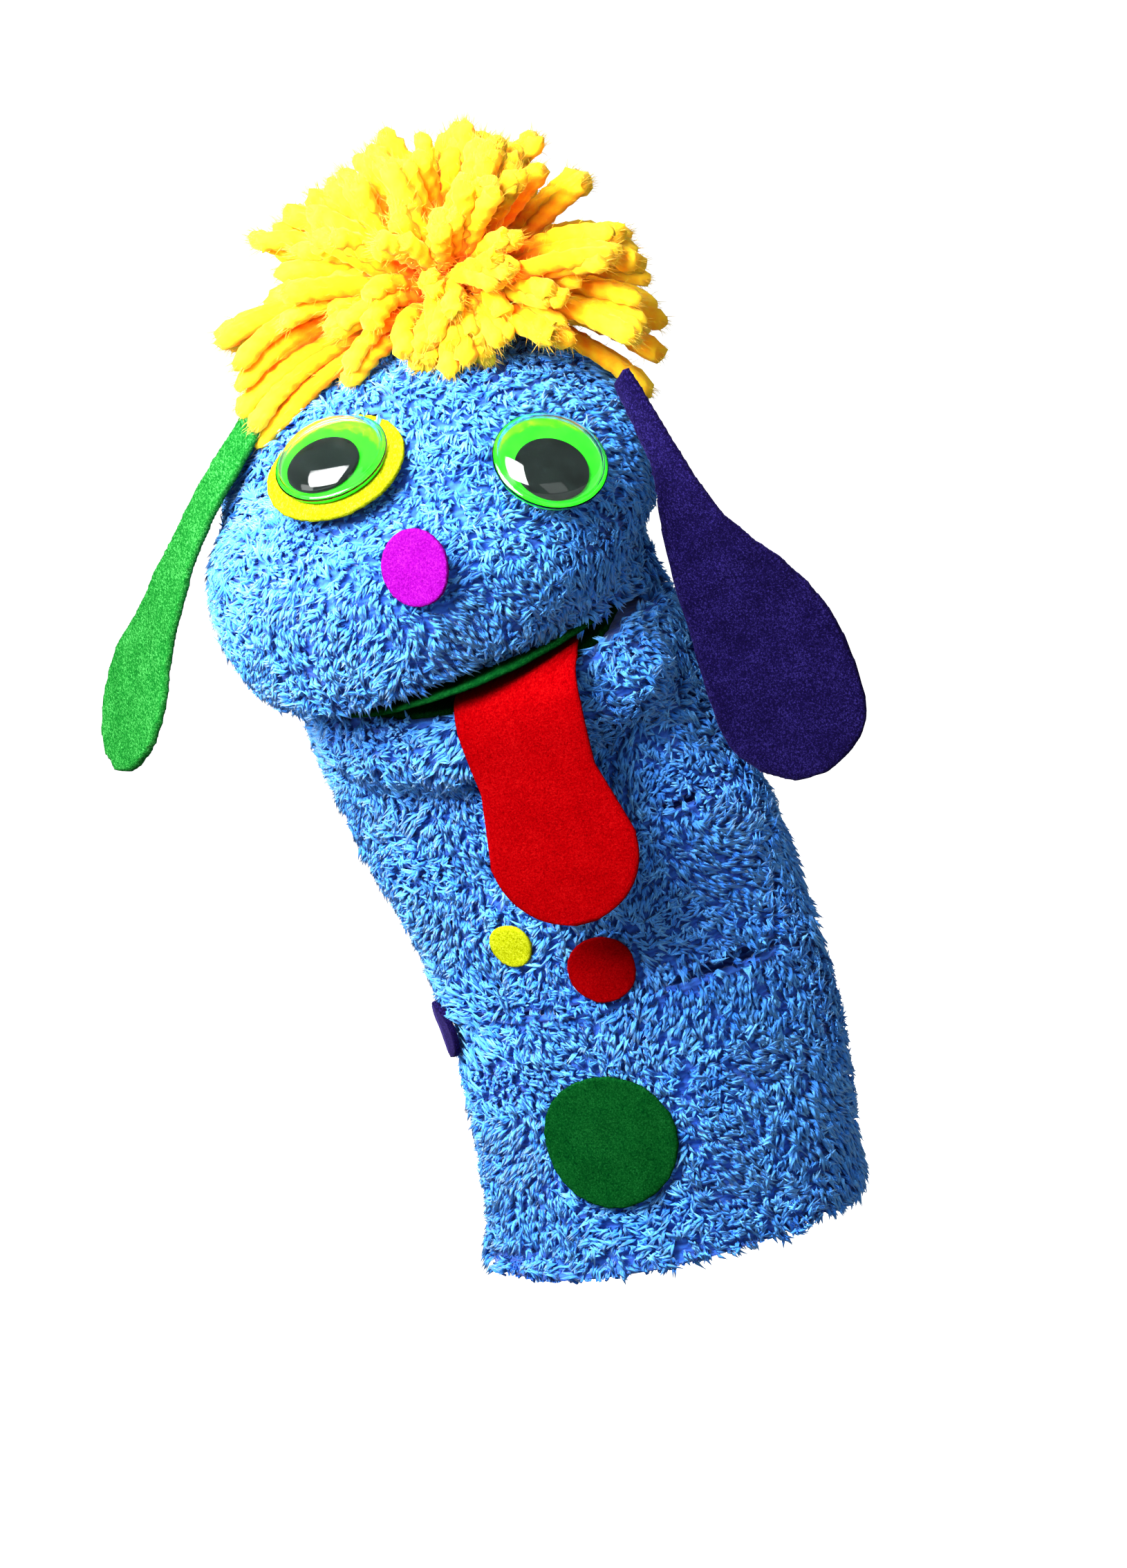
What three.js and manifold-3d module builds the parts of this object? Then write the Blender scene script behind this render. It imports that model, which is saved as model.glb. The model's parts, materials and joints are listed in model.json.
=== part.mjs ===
// A sock puppet: a fluffy sock worn on the hand, with felt ears, tongue, nose and spots, wiggle eyes
// and a yarn pompom for hair.
//
// Millimetres. The origin is the centre of the arm opening, +Z runs up the arm to the crown, and the
// face looks along -Y. The sock is split where the hand inside it bends: at the wrist, which tilts
// and nods, and at the mouth, where the fingers lift the head and the thumb drops the jaw.

import * as THREE from 'three';
import { mergeVertices } from 'three/addons/utils/BufferGeometryUtils.js';
import Module from 'manifold-3d';

const wasm = await Module();
wasm.setup();

// ---- driving dimensions ----

const GAP = 0.3; // between pieces that touch
const WALL = 3.6; // knitted fabric with its pile
const LEG_WIDTH = 84; // across the sock at the arm opening
const NECK_WIDTH = 88; // across the palm of the hand
const FLATNESS = 0.74; // depth of the sock's tube over its width
// The sock sways along its length: towards the purple ear at the wrist, towards the green one above.
const SWAY = { by: 6, rise: 50, top: 150 };
const AROUND = 36; // segments round the sock
const LEVEL = 7; // the furthest that two rings of points on the sock stand apart
const BALL_AROUND = 28; // segments round the head's swellings and the domes of the eyes
const BALL_RINGS = 16;

const WELT_TOP = 9; // turned edge at the arm opening
const TILT_FOLD = [40, 62]; // stretch that folds as the wrist tilts
const NOD_FOLD = [68, 99]; // stretch that folds as the wrist nods
const TUBE_TOP = 176; // where the tube ends inside the head

// The mouth turns about a line along X, through the crease between fingers and thumb.
const CREASE = { y: 6, z: 143, keep: 3.5 };
// Directions from the crease, in degrees from +Y towards +Z.
const HEAD_BACK = 18;
const MOUTH_LINE = 180;
const JAW_BASE = 212;
const NECK_FRONT = 223;
const NECK_BACK = 346;

const MUZZLE = { at: [-10.5, -14, 161.5], radii: [46.5, 44, 31] };
const CROWN = { at: [-4, -4, 173], radii: [48, 39, 34] };
const CHIN = { at: [-2, -16, 128], radii: [40, 27, 17] };

const FELT = 1.5;
// The roof of the jaw starts `fold` below the mouth line at the crease and falls away to the lip.
const MOUTH = { x: -5, halfWidth: 31, upperFront: -47, lowerFront: -40, back: -2, fold: 3.8, slope: 6 };
const TONGUE = {
  x: 10,
  width: 30,
  waist: 28,
  tip: 34,
  rootBack: -14,
  rootWidth: 20,
  length: 52,
  path: [[10, -46, 137.2], [10, -46.6, 124], [11, -47.2, 108], [13.5, -48, 86]],
};

const EYE = { diameter: 25, height: 6.4, shell: 0.9, backing: 1.2, pupil: 16, pupilThickness: 0.9 };
const EYE_LEFT = { at: [-16, -37.2, 191], facing: [-0.02, -0.45, 0.89], pupilShift: [-1.6, -1.8] };
const EYE_RIGHT = { at: [28, -34.8, 181.5], facing: [0.5, -0.52, 0.69], pupilShift: [-1.1, -2.1] };
const PATCH_DIAMETER = 31;
const ROOM = 20; // how far the space that is kept free in front of an eye or the nose reaches
const NOSE = { at: [0, -55.8, 171.5], facing: [-0.2, -0.95, 0.24], width: 15.5, height: 17 };

// Felt strips hang from their root along a few points; `turn` is how far they twist about it, from
// root to tip, in degrees: at 0 the felt's width lies along X or Y, whichever `across` names.
// `widths` are [share of the length, width].
const EAR_FELT = 2;
const EAR_GREEN = {
  path: [
    [-33.5, -12.5, 203], [-40.5, -20.5, 196], [-50, -22, 186.5],
    [-63.7, -20, 169], [-75, -17, 151.8], [-88, -15, 133],
  ],
  widths: [[0, 7.5], [0.35, 10], [0.6, 18], [0.8, 31], [1, 31]],
  across: 'y',
  turn: [-40, -31],
};
const EAR_PURPLE = {
  path: [[42, -9.5, 191], [48, -17, 175], [51.5, -19.5, 155], [59, -18, 130], [60, -17, 98]],
  widths: [[0, 7.5], [0.15, 8.5], [0.75, 33], [1, 33]],
  across: 'x',
  turn: [50, 0],
};
const EAR_ROOM = 10; // how far the yarn keeps off the root of the green ear

const YARN_DIP = 4; // how far behind an eye's base the yarn still keeps off it
const POMPOM = { at: [5, 0, 219], radii: [47, 37, 32] };
const TIE = { at: [11, 0, 217], ball: 5, stem: 2, drop: 10.5 };

const SPOTS = [
  { name: 'spot_green', at: [-1, 32], diameter: 30, color: 0x165f28 },
  { name: 'spot_red', at: [8, 70], diameter: 15, color: 0x9c0a14 },
  { name: 'spot_yellow', at: [-10, 79], diameter: 10, color: 0xc6d81c },
  { name: 'spot_purple', at: [-34, 58], diameter: 13, color: 0x3c35a0 },
];

const BLUE = 0x3f78bd;

// ---- solids ----

function solidOf(geometry) {
  geometry.deleteAttribute('normal');
  geometry.deleteAttribute('uv');
  const merged = mergeVertices(geometry, 1e-4);
  return new wasm.Manifold(new wasm.Mesh({
    numProp: 3,
    vertProperties: new Float32Array(merged.attributes.position.array),
    triVerts: new Uint32Array(merged.index.array),
  }));
}

function geometryOf(solid) {
  const mesh = solid.getMesh();
  const geometry = new THREE.BufferGeometry();
  geometry.setAttribute('position', new THREE.BufferAttribute(new Float32Array(mesh.vertProperties), 3));
  geometry.setIndex(new THREE.BufferAttribute(new Uint32Array(mesh.triVerts), 1));
  geometry.computeVertexNormals();
  return geometry;
}

function joined(...solids) {
  return solids.reduce((whole, solid) => whole.add(solid));
}

function piece(name, solid, color, roughness = 1, extra = {}) {
  const material = new THREE.MeshStandardMaterial({ color, roughness, metalness: 0, ...extra });
  const mesh = new THREE.Mesh(geometryOf(solid), material);
  mesh.name = name;
  return mesh;
}

// A solid turned about Z from [radius, z] points that start and end on the axis or close on
// themselves.
function turned(points, segments = AROUND) {
  const profile = points.map(([radius, z]) => new THREE.Vector2(radius, z));
  const geometry = new THREE.LatheGeometry(profile, segments);
  geometry.rotateX(Math.PI / 2);
  return geometry;
}

function swayAt(z) {
  return SWAY.by * Math.sin((Math.PI / 2) * (Math.min(z, SWAY.top) / SWAY.rise));
}

// A stretch of the sock: turned, then flattened along Y and moved over with the sock's sway.
function sockTurned(points, flatness = FLATNESS) {
  const geometry = turned(points);
  const positions = geometry.attributes.position;
  for (let index = 0; index < positions.count; index += 1) {
    const z = positions.getZ(index);
    positions.setXYZ(index, positions.getX(index) + swayAt(z), positions.getY(index) * flatness, z);
  }
  return solidOf(geometry);
}

// Heights from low to high, no further apart than LEVEL.
function levels(low, high) {
  const steps = Math.ceil((high - low) / LEVEL);
  return Array.from({ length: steps + 1 }, (_, step) => low + ((high - low) * step) / steps);
}

function ellipsoid({ at, radii }, grow = 0) {
  const geometry = new THREE.SphereGeometry(1, BALL_AROUND, BALL_RINGS);
  geometry.rotateX(Math.PI / 2);
  geometry.scale(...radii.map((radius) => radius + grow));
  geometry.translate(...at);
  return solidOf(geometry);
}

// A prism along X over an outline of [y, z] points.
function prismAlongX(outline, halfLength = 100) {
  const shape = new THREE.Shape(outline.map(([y, z]) => new THREE.Vector2(y, z)));
  const geometry = new THREE.ExtrudeGeometry(shape, { depth: 2 * halfLength, bevelEnabled: false });
  geometry.translate(0, 0, -halfLength);
  geometry.rotateY(Math.PI / 2);
  geometry.rotateX(Math.PI / 2);
  return solidOf(geometry);
}

// Everything between two directions from the crease line.
function sector(from, to, clearance = 0) {
  const far = 160;
  const steps = Math.ceil((to - from) / 40);
  const outline = [[CREASE.y, CREASE.z]];
  for (let step = 0; step <= steps; step += 1) {
    const angle = THREE.MathUtils.degToRad(from + ((to - from) * step) / steps);
    outline.push([CREASE.y + far * Math.cos(angle), CREASE.z + far * Math.sin(angle)]);
  }
  const middle = THREE.MathUtils.degToRad((from + to) / 2);
  const spread = Math.sin(THREE.MathUtils.degToRad(Math.min(90, (to - from) / 2)));
  const shift = clearance / spread;
  return prismAlongX(outline.map(([y, z]) => [y + shift * Math.cos(middle), z + shift * Math.sin(middle)]));
}

// A flat disc or oval, or any outline, standing on a point and facing a direction.
function facingMatrix(at, facing) {
  const normal = new THREE.Vector3(...facing).normalize();
  const across = new THREE.Vector3(0, 0, 1).cross(normal).normalize();
  const up = normal.clone().cross(across);
  return new THREE.Matrix4().makeBasis(across, up, normal).setPosition(...at);
}

function ovalPlate(width, height, thickness, base = 0) {
  const shape = new THREE.Shape();
  shape.absellipse(0, 0, width / 2, height / 2, 0, 2 * Math.PI);
  const geometry = new THREE.ExtrudeGeometry(shape, { depth: thickness, bevelEnabled: false, curveSegments: 12 });
  geometry.translate(0, 0, base);
  return geometry;
}

// ---- the sock ----

function sockHalfWidth(z) {
  const rise = THREE.MathUtils.smoothstep(z, TILT_FOLD[1], NOD_FOLD[1]);
  return (LEG_WIDTH + (NECK_WIDTH - LEG_WIDTH) * rise) / 2;
}

function sockRing(low, high) {
  const outer = levels(low, high).map((z) => [sockHalfWidth(z), z]);
  const inner = outer.map(([radius, z]) => [radius - WALL, z]).reverse();
  return sockTurned([...outer, ...inner, outer[0]]);
}

function cuffWelt() {
  const edge = 1.6;
  const outside = LEG_WIDTH / 2 + 0.6;
  const inside = LEG_WIDTH / 2 - WALL - 0.4;
  const profile = [
    [outside - edge, 0], [outside, edge], [outside, WELT_TOP - edge], [outside - edge, WELT_TOP],
    [inside, WELT_TOP], [inside, 0],
  ];
  return sockTurned([...profile, profile[0]]);
}

// The tube of the palm, running on into the head.
function palmTube(grow, bottom) {
  const half = NECK_WIDTH / 2 + grow;
  const top = TUBE_TOP + grow;
  const corners = [[bottom, half], [118, half], [132, half - 1], [150, half - 3], [163, half - 9], [top, half - 17]];
  const outer = [];
  for (let corner = 1; corner < corners.length; corner += 1) {
    const [low, wide] = corners[corner - 1];
    const [high, narrow] = corners[corner];
    const side = levels(low, high).map((z) => [wide + ((narrow - wide) * (z - low)) / (high - low), z]);
    outer.push(...side.slice(corner === 1 ? 0 : 1));
  }
  return sockTurned([[0, bottom], ...outer, [0, top]], (FLATNESS * NECK_WIDTH / 2 + grow) / half);
}

function handSolid(grow, bottom) {
  return joined(palmTube(grow, bottom), ellipsoid(MUZZLE, grow), ellipsoid(CROWN, grow), ellipsoid(CHIN, grow));
}

function jawRoofAt(y) {
  return CREASE.z - MOUTH.fold - (CREASE.y - y) * Math.tan(THREE.MathUtils.degToRad(MOUTH.slope));
}

// The mouth's gap in front of the crease, with `thickness` of what lies above and below it.
function mouthGap(thickness = 0) {
  const front = -90;
  const back = CREASE.y - 0.5;
  const top = CREASE.z + thickness;
  return prismAlongX([
    [back, jawRoofAt(back) - thickness], [back, top], [front, top], [front, jawRoofAt(front) - thickness],
  ]);
}

function handShell() {
  const bottom = NOD_FOLD[1] + GAP;
  const hollow = handSolid(-WALL, bottom - 10).subtract(mouthGap(WALL));
  return handSolid(0, bottom).subtract(hollow).subtract(mouthGap());
}

function creaseRod(radius) {
  const geometry = new THREE.CylinderGeometry(radius, radius, 200, 20);
  geometry.rotateZ(Math.PI / 2);
  geometry.translate(0, CREASE.y, CREASE.z);
  return solidOf(geometry);
}

function sockAroundHand() {
  const shell = handShell();
  const rod = creaseRod(CREASE.keep);
  const clearRod = creaseRod(CREASE.keep + GAP);
  const part = (from, to) => shell.intersect(sector(from, to, GAP / 2)).subtract(clearRod);
  return {
    neck: joined(shell.intersect(sector(NECK_FRONT, NECK_BACK, GAP / 2)), shell.intersect(rod)),
    chinFold: part(JAW_BASE, NECK_FRONT),
    jaw: part(MOUTH_LINE, JAW_BASE),
    head: part(HEAD_BACK, MOUTH_LINE),
    napeFold: part(NECK_BACK - 360, HEAD_BACK),
  };
}

// ---- felt ----

// One half of the felt that lines the mouth: straight at the crease, round at the lip.
function liningOutline(frontY) {
  const shape = new THREE.Shape();
  const depth = MOUTH.back - frontY;
  shape.moveTo(MOUTH.x - MOUTH.halfWidth, MOUTH.back);
  shape.lineTo(MOUTH.x - MOUTH.halfWidth, MOUTH.back - 0.35 * depth);
  shape.absellipse(MOUTH.x, MOUTH.back - 0.35 * depth, MOUTH.halfWidth, 0.65 * depth, Math.PI, 2 * Math.PI);
  shape.lineTo(MOUTH.x + MOUTH.halfWidth, MOUTH.back);
  return shape;
}

function plateOf(shape, thickness) {
  return new THREE.ExtrudeGeometry(shape, { depth: thickness, bevelEnabled: false, curveSegments: 10 });
}

function upperLining() {
  const geometry = plateOf(liningOutline(MOUTH.upperFront), FELT);
  geometry.translate(0, 0, CREASE.z - GAP - FELT);
  return solidOf(geometry).subtract(creaseRod(CREASE.keep + GAP));
}

// Turns a plate lying at Z = 0 down onto the roof of the jaw, `above` it.
function ontoJaw(geometry, above) {
  geometry.translate(0, -CREASE.y, above);
  geometry.rotateX(THREE.MathUtils.degToRad(MOUTH.slope));
  geometry.translate(0, CREASE.y, CREASE.z - MOUTH.fold);
  return solidOf(geometry);
}

function lowerLining() {
  return ontoJaw(plateOf(liningOutline(MOUTH.lowerFront), FELT), GAP).subtract(creaseRod(CREASE.keep + GAP));
}

function tongueRoot() {
  const shape = new THREE.Shape();
  shape.moveTo(TONGUE.x - TONGUE.rootWidth / 2, TONGUE.rootBack);
  shape.lineTo(TONGUE.x - TONGUE.width / 2, MOUTH.lowerFront - 3);
  shape.lineTo(TONGUE.x + TONGUE.width / 2, MOUTH.lowerFront - 3);
  shape.lineTo(TONGUE.x + TONGUE.rootWidth / 2, TONGUE.rootBack);
  return ontoJaw(plateOf(shape, FELT), 2 * GAP + FELT);
}

// A strip of felt along a path: four corners at each step, closed at both ends.
function strip(path, thickness, halfWidthAt, acrossAt, steps = 16) {
  const curve = new THREE.CatmullRomCurve3(path.map((point) => new THREE.Vector3(...point)));
  const corners = [];
  const faces = [];
  for (let step = 0; step <= steps; step += 1) {
    // Steps crowd towards the round tip.
    const along = 1 - (1 - step / steps) ** 1.6;
    const at = curve.getPointAt(along);
    const tangent = curve.getTangentAt(along);
    const across = acrossAt(along, tangent);
    const normal = tangent.clone().cross(across).multiplyScalar(thickness / 2);
    across.multiplyScalar(halfWidthAt(along, curve.getLength()));
    for (const [side, face] of [[-1, -1], [1, -1], [1, 1], [-1, 1]]) {
      corners.push(at.clone().addScaledVector(across, side).addScaledVector(normal, face));
    }
    if (step > 0) {
      const low = 4 * (step - 1);
      for (let corner = 0; corner < 4; corner += 1) {
        const next = (corner + 1) % 4;
        faces.push(low + corner, low + next, low + 4 + next, low + corner, low + 4 + next, low + 4 + corner);
      }
    }
  }
  const last = 4 * steps;
  faces.push(0, 2, 1, 0, 3, 2, last, last + 1, last + 2, last, last + 2, last + 3);
  const geometry = new THREE.BufferGeometry().setFromPoints(corners);
  geometry.setIndex(faces);
  return solidOf(geometry);
}

// Half the width of a strip with a round end: `widths` are [share of the length, width].
function roundEnded(widths) {
  const radius = widths[widths.length - 1][1] / 2;
  return (along, length) => {
    const fromTip = Math.max(0.4, (1 - along) * length);
    if (fromTip < radius) {
      return Math.sqrt(radius ** 2 - (radius - fromTip) ** 2);
    }
    const next = Math.max(1, widths.findIndex(([share]) => share >= along));
    const [from, low] = widths[next - 1];
    const [to, high] = widths[next];
    return (low + (high - low) * THREE.MathUtils.smoothstep(along, from, to)) / 2;
  };
}

function acrossTwisted(axis, [rootTurn, tipTurn]) {
  const reference = axis === 'x' ? new THREE.Vector3(1, 0, 0) : new THREE.Vector3(0, 1, 0);
  return (along, tangent) => {
    const across = reference.clone().addScaledVector(tangent, -reference.dot(tangent)).normalize();
    const turn = rootTurn + (tipTurn - rootTurn) * THREE.MathUtils.smoothstep(along, 0, 0.6);
    return across.applyAxisAngle(tangent, THREE.MathUtils.degToRad(turn));
  };
}

function tongue() {
  const round = TONGUE.tip / 2 / TONGUE.length;
  const widths = [[0, TONGUE.width], [0.3, TONGUE.waist], [1 - round, TONGUE.tip], [1, TONGUE.tip]];
  return strip(TONGUE.path, FELT, roundEnded(widths), acrossTwisted('x', [0, 0]), 14);
}

function ear({ path, widths, across, turn }) {
  return strip(path, EAR_FELT, roundEnded(widths), acrossTwisted(across, turn));
}

// A felt disc that lies on the curved front or side of the sock.
function spot({ at: [x, z], diameter }) {
  const half = sockHalfWidth(z);
  const angle = Math.asin((x - swayAt(z)) / half);
  const normal = new THREE.Vector3(Math.sin(angle) * FLATNESS, -Math.cos(angle), 0).normalize();
  const centre = [x, -half * FLATNESS * Math.cos(angle), z];
  const punch = ovalPlate(diameter, diameter, 24, -12);
  punch.applyMatrix4(facingMatrix(centre, normal.toArray()));
  const low = z - diameter;
  const high = z + diameter;
  const skin = (grow) => {
    const profile = levels(low, high).map((level) => [sockHalfWidth(level) + grow, level]);
    return sockTurned([[0, low], ...profile, [0, high]]);
  };
  return solidOf(punch).intersect(skin(GAP + FELT).subtract(skin(GAP)));
}

function nose(thickness = FELT, grow = 0, base = 0) {
  const geometry = ovalPlate(NOSE.width + grow, NOSE.height + grow, thickness, base);
  geometry.applyMatrix4(facingMatrix(NOSE.at, NOSE.facing));
  return solidOf(geometry);
}

// ---- wiggle eyes ----

function eyePatch({ at, facing }, thickness = FELT, grow = 0, base = 0) {
  const geometry = ovalPlate(PATCH_DIAMETER + grow, PATCH_DIAMETER + grow, thickness, base);
  geometry.applyMatrix4(facingMatrix(at, facing));
  return solidOf(geometry);
}

function eyeBase(eye) {
  return eye === EYE_LEFT ? FELT + GAP : 0;
}

function placed(eye, geometry, lift) {
  geometry.translate(0, 0, eyeBase(eye) + lift);
  geometry.applyMatrix4(facingMatrix(eye.at, eye.facing));
  return solidOf(geometry);
}

function eyeBacking(eye) {
  return placed(eye, ovalPlate(EYE.diameter, EYE.diameter, EYE.backing), 0);
}

function eyePupil(eye) {
  const geometry = ovalPlate(EYE.pupil, EYE.pupil, EYE.pupilThickness);
  geometry.translate(...eye.pupilShift, 0);
  return placed(eye, geometry, EYE.backing + GAP);
}

// The space in front of an eye.
function eyeRoom(eye, size, base = 0) {
  return placed(eye, ovalPlate(size, size, ROOM), base);
}

// A clear blown dome, open at the back, with a small rim.
function eyeDome(eye) {
  const radius = EYE.diameter / 2;
  const wall = EYE.shell;
  const height = EYE.height - EYE.backing;
  const arc = (half, rise) => [0.15, 0.35, 0.55, 0.75, 1].map((part) => {
    const angle = (part * Math.PI) / 2;
    return [half * Math.cos(angle), rise * Math.sin(angle)];
  });
  const outer = arc(radius - 0.5, height);
  const inner = arc(radius - 0.5 - wall, height - wall).reverse();
  const clean = (points) => points.map(([r, z]) => [Math.max(0, Number(r.toFixed(6))), z]);
  const profile = clean([...inner, [radius - 0.5 - wall, 0], [radius, 0], [radius, 0.7], ...outer]);
  const points = profile.map(([r, z]) => new THREE.Vector2(r, z));
  const geometry = new THREE.LatheGeometry(points, BALL_AROUND);
  geometry.rotateX(Math.PI / 2);
  return placed(eye, geometry, EYE.backing + GAP);
}

// ---- pompom ----

// A round knot on a short stem that is stitched down to the crown.
function tie(grow = 0, extra = 0) {
  const ball = TIE.ball + grow;
  const stem = TIE.stem + grow;
  const neckAngle = Math.asin(stem / ball);
  const profile = [[0, -TIE.drop - extra], [stem, -TIE.drop - extra]];
  for (let step = 0; step <= 6; step += 1) {
    const angle = neckAngle + ((Math.PI - neckAngle) * step) / 6;
    profile.push([step === 6 ? 0 : ball * Math.sin(angle), -ball * Math.cos(angle)]);
  }
  return solidOf(turned(profile, 16)).translate(TIE.at);
}

function pompom(headSkin) {
  const clearOfEyes = joined(
    eyeRoom(EYE_LEFT, PATCH_DIAMETER + 2, -YARN_DIP),
    eyeRoom(EYE_RIGHT, EYE.diameter + 2, -YARN_DIP),
  );
  const clearOfEar = ellipsoid({ at: EAR_GREEN.path[0], radii: [EAR_ROOM, EAR_ROOM, EAR_ROOM] });
  return ellipsoid(POMPOM).subtract(headSkin).subtract(tie(GAP, 10))
    .subtract(clearOfEyes).subtract(clearOfEar);
}

// ---- assembly ----

const puppet = new THREE.Group();
puppet.name = 'sock_puppet';

puppet.add(piece('cuff_welt', cuffWelt(), BLUE));
puppet.add(piece('sock_leg', sockRing(WELT_TOP + GAP, TILT_FOLD[0]), BLUE));
puppet.add(piece('sock_tilt_fold', sockRing(TILT_FOLD[0] + GAP, TILT_FOLD[1]), BLUE));
puppet.add(piece('sock_wrist_band', sockRing(TILT_FOLD[1] + GAP, NOD_FOLD[0]), BLUE));
puppet.add(piece('sock_nod_fold', sockRing(NOD_FOLD[0] + GAP, NOD_FOLD[1]), BLUE));

const hand = sockAroundHand();
const fixedToHead = joined(
  eyePatch(EYE_LEFT, ROOM, 2 * GAP, -GAP),
  eyeRoom(EYE_RIGHT, EYE.diameter + 2 * GAP, -GAP),
  nose(ROOM, 2 * GAP, -GAP),
);
puppet.add(piece('sock_neck', hand.neck, BLUE));
puppet.add(piece('sock_chin_fold', hand.chinFold, BLUE));
puppet.add(piece('sock_nape_fold', hand.napeFold, BLUE));
puppet.add(piece('sock_jaw', hand.jaw, BLUE));
puppet.add(piece('sock_head', hand.head.subtract(fixedToHead), BLUE));

puppet.add(piece('mouth_lining_upper', upperLining(), 0x1a573a));
puppet.add(piece('mouth_lining_lower', lowerLining(), 0x1a573a));
puppet.add(piece('tongue_root', tongueRoot(), 0xbf050b));
puppet.add(piece('tongue', tongue(), 0xbf050b));

puppet.add(piece('nose', nose(), 0xe51df3));
puppet.add(piece('eye_patch', eyePatch(EYE_LEFT), 0xd3d928));
for (const [side, eye] of [['left', EYE_LEFT], ['right', EYE_RIGHT]]) {
  puppet.add(piece(`eye_${side}_backing`, eyeBacking(eye), 0x5af432, 0.4));
  puppet.add(piece(`eye_${side}_pupil`, eyePupil(eye), 0x181e1c, 0.3));
  const clear = { transparent: true, opacity: 0.25 };
  puppet.add(piece(`eye_${side}_dome`, eyeDome(eye), 0xffffff, 0.05, clear));
}

puppet.add(piece('ear_green', ear(EAR_GREEN), 0x2a9648));
puppet.add(piece('ear_purple', ear(EAR_PURPLE), 0x2d1a78));

const headSkin = handSolid(GAP, NOD_FOLD[1]);
puppet.add(piece('pompom_yarn', pompom(headSkin), 0xffeb28));
puppet.add(piece('pompom_tie', tie(), 0xf0a51e));

for (const each of SPOTS) {
  puppet.add(piece(each.name, spot(each), each.color));
}

export default puppet;
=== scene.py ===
"""A fluffy sock puppet: pile, felt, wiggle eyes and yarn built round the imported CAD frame.

Lengths are in metres in the CAD frame: +Z runs up the arm, the face looks along -Y.
"""

import json
import math
import random

import bpy
import numpy as np
from mathutils import Matrix, Vector, noise
from mathutils.bvhtree import BVHTree


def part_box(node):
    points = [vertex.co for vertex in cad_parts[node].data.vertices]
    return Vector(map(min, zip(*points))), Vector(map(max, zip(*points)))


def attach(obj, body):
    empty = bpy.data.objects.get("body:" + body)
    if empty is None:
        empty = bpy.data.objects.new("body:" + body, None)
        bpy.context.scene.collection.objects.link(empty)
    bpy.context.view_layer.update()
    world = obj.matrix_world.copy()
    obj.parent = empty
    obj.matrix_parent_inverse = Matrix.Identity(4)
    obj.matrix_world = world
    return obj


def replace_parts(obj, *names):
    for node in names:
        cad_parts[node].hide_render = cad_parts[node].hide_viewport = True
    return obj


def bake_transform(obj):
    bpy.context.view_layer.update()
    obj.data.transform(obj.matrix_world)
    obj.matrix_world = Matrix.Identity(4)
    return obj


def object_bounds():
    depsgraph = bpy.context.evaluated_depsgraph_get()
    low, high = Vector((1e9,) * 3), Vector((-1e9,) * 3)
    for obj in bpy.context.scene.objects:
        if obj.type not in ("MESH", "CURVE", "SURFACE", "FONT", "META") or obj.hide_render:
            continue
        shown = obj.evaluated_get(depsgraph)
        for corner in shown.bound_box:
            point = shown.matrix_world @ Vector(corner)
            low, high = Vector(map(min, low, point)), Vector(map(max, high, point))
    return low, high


MM = 0.001
NOISE_SEED = 1
noise.seed_set(NOISE_SEED)  # noise_vector would start from the clock without this
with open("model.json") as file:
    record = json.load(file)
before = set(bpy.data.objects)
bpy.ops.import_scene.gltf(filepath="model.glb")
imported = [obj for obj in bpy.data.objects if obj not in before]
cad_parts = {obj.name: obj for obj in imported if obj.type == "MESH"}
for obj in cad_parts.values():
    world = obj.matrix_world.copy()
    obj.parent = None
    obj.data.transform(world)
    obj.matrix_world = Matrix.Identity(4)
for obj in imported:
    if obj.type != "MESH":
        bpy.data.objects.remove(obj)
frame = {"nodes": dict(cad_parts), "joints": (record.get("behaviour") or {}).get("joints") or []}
cad_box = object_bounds()
scene = bpy.context.scene
JOINTS = {joint["name"]: joint for joint in frame["joints"]}


def joint_place(name):
    return Vector(JOINTS[name]["pos_m"])


def joint_axis(name):
    return Vector(JOINTS[name]["axis"]).normalized()


CREASE = joint_place("head_lift")


# ---- camera, light and floor ----

AZIMUTH = math.radians(15)
ELEVATION = math.radians(15)
LEAN = math.radians(16)  # the arm leans to the left of the picture
PICTURE_HEIGHT = 338 * MM  # how much the frame takes in at the puppet
PICTURE_CENTRE = (2.6 * MM, 99.4 * MM)  # right of and above the arm opening's centre
CAMERA_DISTANCE = 4.0
FLOOR_DROP = 160 * MM  # the floor is this far below the cuff
FLOOR_REACH = 6.0


def make_camera():
    right = Vector((math.cos(AZIMUTH), math.sin(AZIMUTH), 0))
    back = Vector((math.sin(AZIMUTH) * math.cos(ELEVATION), -math.cos(AZIMUTH) * math.cos(ELEVATION),
                   math.sin(ELEVATION)))
    up = back.cross(right)
    target = right * PICTURE_CENTRE[0] + up * PICTURE_CENTRE[1]
    across = right * math.cos(LEAN) - up * math.sin(LEAN)
    upward = right * math.sin(LEAN) + up * math.cos(LEAN)
    data = bpy.data.cameras.new("camera")
    data.lens = data.sensor_width * CAMERA_DISTANCE / PICTURE_HEIGHT
    data.clip_start = 0.05
    data.clip_end = 20
    camera = bpy.data.objects.new("camera", data)
    camera.matrix_world = Matrix.Translation(target + back * CAMERA_DISTANCE) @ Matrix(
        (across, upward, back)).transposed().to_4x4()
    scene.collection.objects.link(camera)
    scene.camera = camera
    return across, upward, back


IMAGE_RIGHT, IMAGE_UP, TO_CAMERA = make_camera()


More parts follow.
